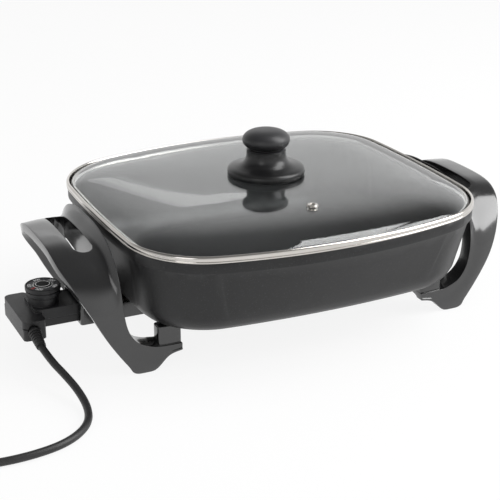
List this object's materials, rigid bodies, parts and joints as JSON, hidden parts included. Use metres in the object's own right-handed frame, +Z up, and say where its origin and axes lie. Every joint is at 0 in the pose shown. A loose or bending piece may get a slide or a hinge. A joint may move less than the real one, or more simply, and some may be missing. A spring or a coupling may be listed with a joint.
{
  "type": "electric skillet",
  "caption": "Rectangular electric frying pan with a lift-off domed glass lid, arched handles that end in feet, and a plug-in heat control with a dial and mains cord.",
  "frame": {"origin": "on the worktop, under the middle of the object measured without its cord", "axes": "+X along the pan away from the heat control, +Z up from the worktop, +Y away from the viewer of the picture"},
  "size_m": [0.7157, 0.3944, 0.2005],
  "materials": {
    "pan_coating": "satin dark non-stick and enamel coating on cast aluminium",
    "element_sheath": "dull heat-stained sheath",
    "contact_metal": "plain",
    "ceramic": "matte white insulator",
    "phenolic": "polished black moulding",
    "screw_steel": "plated",
    "lid_glass": "clear tempered",
    "rim_steel": "polished stainless steel",
    "knob_plastic": "satin black moulding",
    "seal_rubber": "grey silicone",
    "control_plastic": "fine satin black moulding",
    "bimetal": "plain strip",
    "dial_print": "dark plate with pale marks",
    "cord_rubber": "satin black jacket"
  },
  "bodies": {
    "pan": {"pan_body": "pan_coating", "heating_element": "element_sheath", "terminal_pins": "contact_metal", "terminal_bushings": "ceramic", "sensor_well": "element_sheath", "socket_guard": "phenolic", "guard_screws": "screw_steel", "left_handle": "phenolic", "right_handle": "phenolic", "handle_screws": "screw_steel"},
    "lid": {"lid_glass": "lid_glass", "lid_rim": "rim_steel", "vent_grommet": "rim_steel", "knob_base": "phenolic", "knob_cap": "knob_plastic", "knob_washer": "rim_steel", "knob_gasket": "seal_rubber", "knob_screw": "screw_steel"},
    "control": {"control_lower": "control_plastic", "control_upper": "control_plastic", "contact_receptacles": "contact_metal", "sensing_rod": "rim_steel", "housing_screws": "screw_steel", "thermostat_base": "ceramic", "bimetal_blade": "bimetal", "switch_arm": "contact_metal", "supply_terminals": "contact_metal", "strain_relief": "cord_rubber", "cord_run": "cord_rubber", "cord_coil": "cord_rubber", "plug_body": "cord_rubber", "plug_blades": "contact_metal"},
    "dial": {"dial_knob": "control_plastic", "dial_plate": "dial_print", "dial_cap": "control_plastic", "dial_spindle": "rim_steel", "dial_cam": "contact_metal"}
  },
  "joints": [
    {"name": "lid_lift", "type": "slide", "parent": "pan", "child": "lid", "axis": [0, 0, 1], "range_m": [0, 0.15]},
    {"name": "control_pull", "type": "slide", "parent": "pan", "child": "control", "axis": [-1, 0, 0], "range_m": [0, 0.085]},
    {"name": "dial_turn", "type": "hinge", "parent": "control", "child": "dial", "pos_m": [-0.23625, 0, 0.0645], "axis": [0, 0, 1], "range_deg": [-270, 0]}
  ]
}
